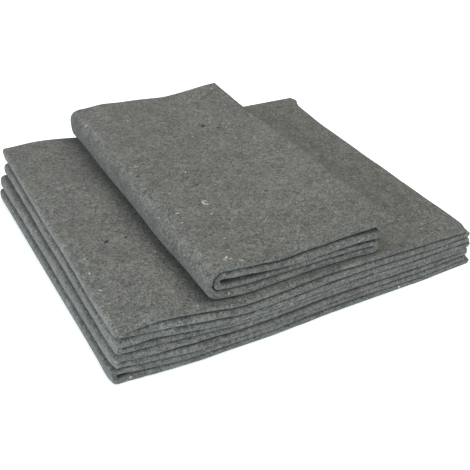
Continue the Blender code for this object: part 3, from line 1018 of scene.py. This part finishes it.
def with_knots(tree, colour, lint):
    """Most knots are dark or pale, and the last few stops of the ramp give the coloured ones."""
    chance = tree.nodes.new("ShaderNodeSeparateColor")
    tree.links.new(lint.outputs["Chance"], chance.inputs["Color"])
    tint = tree.nodes.new("ShaderNodeValToRGB")
    tint.color_ramp.interpolation = "CONSTANT"
    stops = tint.color_ramp.elements
    for index, knot_tint in enumerate(KNOT_TINTS):
        stop = stops[index] if index < len(stops) else stops.new(knot_tint.from_chance)
        stop.position = knot_tint.from_chance
        stop.color = (*knot_tint.colour, 1.0)
    tree.links.new(chance.outputs["Blue"], tint.inputs["Fac"])
    on_knots = maths(tree, "MULTIPLY", lint.outputs["Knots"], KNOT_STRENGTH)
    return blend_colours(tree, colour, tint.outputs["Color"], on_knots)


def with_strokes(tree, colour, place, blanket_name):
    ragged_place = wobbled(tree, place, STROKE_RAGGED_SCALE, STROKE_RAGGED_REACH)
    for kind, look in LINT_KINDS.items():
        cover = lint_cover(tree, ragged_place, blanket_name, kind)
        if cover is not None:
            strength = maths(tree, "MULTIPLY", cover, look.strength)
            colour = blend_colours(tree, colour, (*look.colour, 1.0), strength)
    return colour


def relief(tree, grain, hairs, lint):
    height = maths(tree, "MULTIPLY", hairs.outputs["Hairs"], HAIR_RELIEF)
    height = maths(tree, "ADD", grain.outputs["Grain"], height)
    height = maths(tree, "ADD", height, maths(tree, "MULTIPLY", lint.outputs["Knots"], KNOT_RELIEF))
    bump = tree.nodes.new("ShaderNodeBump")
    bump.inputs["Strength"].default_value = RELIEF_STRENGTH
    bump.inputs["Distance"].default_value = RELIEF_HEIGHT
    tree.links.new(height, bump.inputs["Height"])
    return bump.outputs["Normal"]


def felt_material(blanket_name, felt):
    material = bpy.data.materials.new("felt_of_" + blanket_name)
    material.use_nodes = True
    tree = material.node_tree
    shader = tree.nodes["Principled BSDF"]
    where = tree.nodes.new("ShaderNodeTexCoord")
    cloth_map = tree.nodes.new("ShaderNodeUVMap")
    cloth_map.uv_map = CLOTH_MAP
    place = moved(tree, where.outputs["Object"], (1.0, 1.0, 1.0), felt.shift)
    flat_place = moved(tree, cloth_map.outputs["UV"], (UV_METRES, UV_METRES, 1.0), felt.shift)
    grain = place_group(tree, grain_group, "Place", place)
    hairs = place_group(tree, hair_group, "Cloth Place", flat_place)
    lint = place_group(tree, lint_group, "Place", place)
    colour = base_colour(tree, felt, grain, hairs)
    colour = with_knots(tree, colour, lint)
    colour = with_strokes(tree, colour, where.outputs["Object"], blanket_name)
    tree.links.new(colour, shader.inputs["Base Color"])
    tree.links.new(relief(tree, grain, hairs, lint), shader.inputs["Normal"])
    shader.inputs["Roughness"].default_value = FELT_ROUGHNESS
    shader.inputs["Specular IOR Level"].default_value = FELT_SHINE
    shader.inputs["Sheen Weight"].default_value = FELT_SHEEN
    shader.inputs["Sheen Roughness"].default_value = SHEEN_ROUGHNESS
    return material


for name, (blanket, size) in blankets.items():
    blanket.data.materials.append(felt_material(name, FELTS[name]))
print("felts:", len(FELTS))

# %% [markdown]
# Every blanket now takes the place of its measured solid and rides with the stack.

# %% Put the blankets in place of their solids
order = list(blankets)
for index, name in enumerate(order):
    blanket, size = blankets[name]
    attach(blanket, "root")
    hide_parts(name)

# %% [markdown]
# The stack stands on a plain pale floor that is lit from within a little, so that it comes out almost white
# and sends some light back up. A warm soft light hangs high over its right, a cooler window stands low at its
# left, and a weak bluish one in front. So the rolled edges look a little bluer than the flat tops.

# %% Floor and lights
FLOOR_HALF = 6.0
FLOOR_COLOUR = (0.95, 0.95, 0.95, 1.0)
FLOOR_GLOW_COLOUR = (0.88, 0.95, 1.0, 1.0)
FLOOR_GLOW = 0.45
ROOM_COLOUR = (0.97, 0.985, 1.0, 1.0)
ROOM_STRENGTH = 0.38

SoftLight = namedtuple("SoftLight", "name place target size power colour")
LIGHTS = (
    SoftLight("overhead", (1.15, -0.1, 3.1), (0, 0, 0), (2.6, 2.6), 88.0, (1.0, 0.975, 0.93)),
    SoftLight("left_window", (-2.3, -0.8, 0.85), (0, 0, 0.1), (2.2, 1.2), 50.0, (0.84, 0.925, 1.0)),
    SoftLight("front_window", (0.35, -2.6, 0.40), (0.1, 0, 0.05), (1.6, 0.8), 12.0, (0.62, 0.83, 1.0)),
)

bm = bmesh.new()
bmesh.ops.create_grid(bm, x_segments=1, y_segments=1, size=FLOOR_HALF)
floor_mesh = bpy.data.meshes.new("pale_floor")
bm.to_mesh(floor_mesh)
bm.free()
floor = bpy.data.objects.new("pale_floor", floor_mesh)
bpy.context.scene.collection.objects.link(floor)
floor_paint = bpy.data.materials.new("pale_floor_paint")
floor_paint.use_nodes = True
floor_shader = floor_paint.node_tree.nodes["Principled BSDF"]
floor_shader.inputs["Base Color"].default_value = FLOOR_COLOUR
floor_shader.inputs["Roughness"].default_value = 1.0
floor_shader.inputs["Specular IOR Level"].default_value = 0.0
floor_shader.inputs["Emission Color"].default_value = FLOOR_GLOW_COLOUR
floor_shader.inputs["Emission Strength"].default_value = FLOOR_GLOW
floor_mesh.materials.append(floor_paint)

for soft in LIGHTS:
    light = bpy.data.lights.new(soft.name, "AREA")
    light.shape = "RECTANGLE"
    light.size, light.size_y = soft.size
    light.energy = soft.power
    light.color = soft.colour
    lamp = bpy.data.objects.new(soft.name, light)
    lamp.location = soft.place
    lamp.rotation_euler = (Vector(soft.target) - Vector(soft.place)).to_track_quat("-Z", "Y").to_euler()
    bpy.context.scene.collection.objects.link(lamp)

world = bpy.data.worlds.new("room_light")
world.use_nodes = True
world.node_tree.nodes["Background"].inputs["Color"].default_value = ROOM_COLOUR
world.node_tree.nodes["Background"].inputs["Strength"].default_value = ROOM_STRENGTH
bpy.context.scene.world = world
bpy.context.scene.view_settings.view_transform = "Standard"
print("soft lights:", len(LIGHTS))
